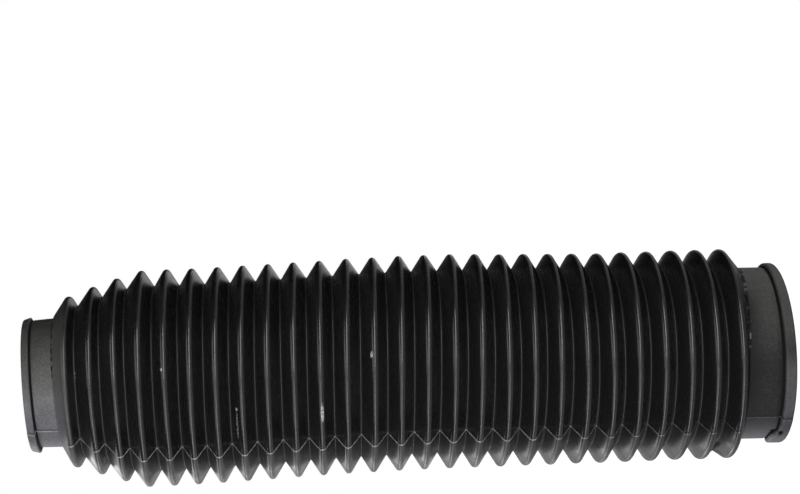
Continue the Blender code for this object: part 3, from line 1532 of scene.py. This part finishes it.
        # Crease and pit carry painted shade, as do the large root and the seam's side; the seam carries a
        # painted highlight
        return {
            "crest": ((region == Region.CREST) * rows.on_arc)[:, None] * ones,
            "collar": (outer * np.clip(self.fade_steepness * (1.0 - away), 0.0, 1.0))[:, None] * ones,
            "crease": np.maximum((region == Region.CREASE)[:, None] * ones, self.pit_shade * pit),
            "torn": self.wear.tears(rows, small, angles),
            "grime": self.wear.shade_at_root(rows, small, angles),
            "groove": ((region == Region.VALLEY) * rows.on_arc)[:, None] * ones,
            "bloom": self.bloom.cover(small, region == Region.LIP, angles, self.seam),
            "far_half": self.seam.far_half(angles)[None] * ones,
            "seam": outer[:, None] * self.seam.nearness(angles) * self.seam.paleness(heights),
            "seam_shade": outer[:, None] * self.seam.shade(angles),
        }

    def build(self) -> bpy.types.Object:
        """Builds the surface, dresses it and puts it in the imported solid's place.

        Each point of the rounded section is moved along its normal by the flash and the mismatch,
        less the flaw's dent, and then placed on the bowed axis, but never under the floor.

        Returns:
            The finished piece.
        """
        angles = self.angles()
        rows = rounded(self.section(angles), self.support)
        travel = rows.travel()
        outer = (rows.region < Region.BORE)[:, None]
        by_face = np.isin(rows.region, (Region.LIP, Region.CREASE, Region.COLLAR))
        at_large = (by_face & (rows.fold > self.folds.count / 2))[:, None]
        dent, pit = self.flaw.dent(rows.place, angles)
        rise = self.seam.ridge(angles, travel) * outer + self.seam.shift(angles)[None] - dent * at_large
        section = rows.place + rows.normals() * rise[..., None]
        points = self.axis.place(section, angles)
        points[..., 2] = np.maximum(points[..., 2], self.low.z)

        shades = self.shades(rows, section[..., 1], pit * at_large, angles)
        turned = self.unrolled(angles, travel)
        piece = surface_object("gaiter_rubber", points, angles, travel, turned, shades)
        piece.data.materials.append(self.finish.material())
        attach(piece, BODY)
        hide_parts(NODE)
        log.info(
            "%s: %d rows by %d columns, %d triangles", piece.name, *points.shape[:2],
            2 * points.shape[0] * points.shape[1],
        )
        return piece


def surface_object(
    name: str, points: Array, angles: Array, travel: Array, turned: Array, shades: dict[str, Array],
) -> bpy.types.Object:
    """Object from a grid of points that closes both ways.

    The quad at row i and column j joins the points (i, j), (i + 1, j), (i + 1, j + 1) and
    (i, j + 1), where the last row and column are followed by the first. Its UVs are the angle as
    a share of a turn, and the distance along the section in metres.

    Args:
        name: name of the object and its mesh.
        points: (row, column, 3) points.
        angles: angle of each column.
        travel: distance of each row along the section.
        turned: (row, column, 3) values of the vector attribute "turned".
        shades: (row, column) values of each float attribute, by name.

    Returns:
        The object, shaded smooth, at the origin.
    """
    rows, columns = points.shape[:2]
    row, column = np.meshgrid(np.arange(rows), np.arange(columns), indexing="ij")
    below, beside = (row + 1) % rows, (column + 1) % columns
    quads = np.stack([
        row * columns + column, below * columns + column,
        below * columns + beside, row * columns + beside,
    ], axis=-1).reshape(-1)
    mesh = bpy.data.meshes.new(name)
    mesh.vertices.add(rows * columns)
    mesh.vertices.foreach_set("co", points.astype(np.float32).reshape(-1))
    mesh.loops.add(len(quads))
    mesh.loops.foreach_set("vertex_index", quads.astype(np.int32))
    mesh.polygons.add(rows * columns)
    mesh.polygons.foreach_set("loop_start", np.arange(0, len(quads), 4, dtype=np.int32))
    mesh.update(calc_edges=True)
    mesh.validate()

    share = np.append(angles, angles[0] + FULL_TURN) / FULL_TURN
    length = np.append(travel, travel[-1])
    across = np.stack([share[column], share[column], share[column + 1], share[column + 1]], axis=-1)
    along = np.stack([length[row], length[row + 1], length[row + 1], length[row]], axis=-1)
    layer = mesh.uv_layers.new(name="section")
    layer.uv.foreach_set("vector", np.stack([across, along], axis=-1).astype(np.float32).reshape(-1))
    vector = mesh.attributes.new("turned", "FLOAT_VECTOR", "POINT")
    vector.data.foreach_set("vector", turned.astype(np.float32).reshape(-1))
    for label, values in shades.items():
        attribute = mesh.attributes.new(label, "FLOAT", "POINT")
        attribute.data.foreach_set("value", values.astype(np.float32).reshape(-1))
    mesh.shade_smooth()
    made = bpy.data.objects.new(name, mesh)
    bpy.context.collection.objects.link(made)
    return made


def put(holder: bpy.types.Object, place: Vector, right: Vector, back: Vector) -> None:
    """Puts a lamp or a camera in the scene.

    Args:
        holder: the lamp's or the camera's object.
        place: where it stands.
        right: unit vector along its X axis.
        back: unit vector along its Z axis, away from what it faces.
    """
    turn = Matrix((right, back.cross(right), back)).transposed().to_4x4()
    holder.matrix_world = Matrix.Translation(place) @ turn
    bpy.context.collection.objects.link(holder)


@dataclass(frozen=True)
class Softbox:
    """Rectangular lamp with a soft face, which the camera doesn't see.

    Attributes:
        name: name of the lamp.
        angle: its angle round the axis.
        rise: its angle above the level of the object's middle.
        width: its width, which lies level.
        height: its height.
        radiance: brightness of its face, where 1 is white.
        distance: how far it stands from the object's middle.
        aim: the object's middle, which it faces.
    """

    name: str
    angle: float
    rise: float
    width: float
    height: float
    radiance: float
    distance: float = 1.0
    aim: Triple = (0.0, 0.0, 0.13)

    def build(self) -> None:
        """Adds the lamp. Its power is its radiance times pi times its area."""
        turn, rise = math.radians(self.angle), math.radians(self.rise)
        back = Vector((math.cos(turn) * math.cos(rise), math.sin(turn) * math.cos(rise), math.sin(rise)))
        across = Vector((0.0, 0.0, 1.0)).cross(back).normalized()
        lamp = bpy.data.lights.new(self.name, "AREA")
        lamp.shape = "RECTANGLE"
        lamp.size = self.width
        lamp.size_y = self.height
        lamp.energy = self.radiance * math.pi * self.width * self.height
        holder = bpy.data.objects.new(self.name, lamp)
        holder.visible_camera = False
        put(holder, Vector(self.aim) + back * self.distance, across, back)
        log.info("%s: %.2f by %.2f m, radiance %.1f", self.name, self.width, self.height, self.radiance)


@dataclass
class Studio:
    """White sweep: a pale floor, a white background and softboxes.

    Attributes:
        floor_half: half the side of the floor.
        floor_level: grey of the floor.
        floor_glow: share of the floor's light that it gives by itself to the camera.
        floor_shine: brightness of that light.
        floor_gleam: share of that light which reflections show, on the bright side of the room.
        gleam_reach: distances towards that side between which it grows from nothing.
        room_way: way to the room's brightest side as the object sees it.
        room_level: brightness of that side.
        room_focus: power that draws the brightness together round that side.
        lamps: the softboxes.
    """

    floor_half: float = 2.5
    floor_level: float = 0.75
    floor_glow: float = 0.82
    floor_shine: float = 1.25
    floor_gleam: float = 0.5
    gleam_reach: tuple[float, float] = (0.05, 0.5)
    room_way: Triple = (-0.750, 0.638, -0.174)
    room_level: float = 1.1
    room_focus: float = 5.0
    lamps: tuple[Softbox, ...] = (
        Softbox("front_strip", 304.3, 0.0, 1.05, 0.2, 8.6),
        Softbox("foot_strip", 229.3, 0.0, 1.6, 0.2, 5.4),
        Softbox("back_strip", 161.3, 8.0, 1.0, 0.2, 2.2),
        Softbox("front_softbox", 254.3, 32.0, 1.3, 0.5, 1.7),
        Softbox("back_softbox", 129.3, 35.0, 0.6, 0.5, 2.3),
        Softbox("end_softbox", 310.0, 62.0, 0.6, 0.5, 1.8),
    )

    def background(self) -> None:
        """White world for the camera, and a dark room with one brighter side for everything else.

        The room's brightness is its level times a power of the cosine of the angle from its
        brightest side, where that cosine is above 0.
        """
        world = bpy.data.worlds.new("studio")
        world.use_nodes = True
        graph = Graph(world.node_tree)
        seen = graph.result("ShaderNodeLightPath", "Is Camera Ray")
        way = graph.result("ShaderNodeTexCoord", "Generated")
        cosine = graph.maths("MAXIMUM", graph.along(way, self.room_way), 0.0)
        strength = seen + (1.0 - seen) * (graph.maths("POWER", cosine, self.room_focus) * self.room_level)
        glow = graph.result("ShaderNodeBackground", 0, inputs={"Color": grey(1.0), "Strength": strength})
        graph.node("ShaderNodeOutputWorld", inputs={"Surface": glow})
        bpy.context.scene.world = world

    def floor(self) -> None:
        """Pale floor under the object, which the camera sees nearly white, with the shadow on it.

        Reflections show part of its glow too, which grows with the way from the object towards the
        bright side of the room.
        """
        material = bpy.data.materials.new("pale_floor")
        material.use_nodes = True
        graph = Graph(material.node_tree)
        matt = graph.result(
            "ShaderNodeBsdfPrincipled", 0,
            inputs={"Base Color": grey(self.floor_level), "Roughness": 0.9, "Specular IOR Level": 0.0},
        )
        glow = graph.result(
            "ShaderNodeEmission", 0, inputs={"Color": grey(1.0), "Strength": self.floor_shine},
        )
        place = graph.result("ShaderNodeTexCoord", "Object")
        behind = graph.along(place, self.room_way).step(*self.gleam_reach)
        seen = graph.result("ShaderNodeLightPath", "Is Camera Ray")
        mirrored = graph.result("ShaderNodeLightPath", "Is Glossy Ray")
        share = seen * self.floor_glow + mirrored * behind * self.floor_gleam
        mixed = graph.result("ShaderNodeMixShader", 0, inputs={0: share, 1: matt, 2: glow})
        graph.node("ShaderNodeOutputMaterial", inputs={"Surface": mixed})
        half = self.floor_half
        mesh = bpy.data.meshes.new("floor")
        corners = [(-half, -half, 0), (half, -half, 0), (half, half, 0), (-half, half, 0)]
        mesh.from_pydata(corners, [], [(0, 1, 2, 3)])
        mesh.materials.append(material)
        plane = bpy.data.objects.new("floor", mesh)
        bpy.context.collection.objects.link(plane)
        plane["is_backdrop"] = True

    def build(self) -> None:
        """Adds the background, the floor and the lamps."""
        self.background()
        self.floor()
        for lamp in self.lamps:
            lamp.build()


@dataclass(frozen=True)
class PhotoCamera:
    """Camera at the photograph's viewing angle, with the small end at the picture's left.

    Attributes:
        place: where it stands.
        look_at: the point at the middle of the picture.
        picture_up: the way that is up in the picture.
        lens: focal length in millimetres on a sensor 36 wide.
    """

    place: Triple = (0.10374, -0.6136, 0.15475)
    look_at: Triple = (0.04134, 0.0027, 0.12775)
    picture_up: Triple = (0.9943, 0.0990, -0.0392)
    lens: float = 81.8

    def build(self) -> None:
        """Adds the camera and makes it the scene's."""
        ahead = (Vector(self.look_at) - Vector(self.place)).normalized()
        right = ahead.cross(Vector(self.picture_up)).normalized()
        data = bpy.data.cameras.new("photo_camera")
        data.lens = self.lens
        data.sensor_width = 36.0
        data.dof.use_dof = False
        camera = bpy.data.objects.new("photo_camera", data)
        put(camera, Vector(self.place), right, -ahead)
        bpy.context.scene.camera = camera


def write_sizes() -> None:
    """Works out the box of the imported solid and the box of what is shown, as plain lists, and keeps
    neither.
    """
    boxes = {"cad": CAD_BOX, "visual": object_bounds()}
    {name: [list(corner) for corner in box] for name, box in boxes.items()}


def main() -> None:
    """Builds the studio and the gaiter."""
    logging.basicConfig(level=logging.INFO, format="%(name)s %(message)s")
    bpy.context.scene.view_settings.view_transform = "Standard"
    PhotoCamera().build()
    Studio().build()
    Gaiter(*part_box(NODE)).build()
    write_sizes()


if __name__ == "__main__":
    main()
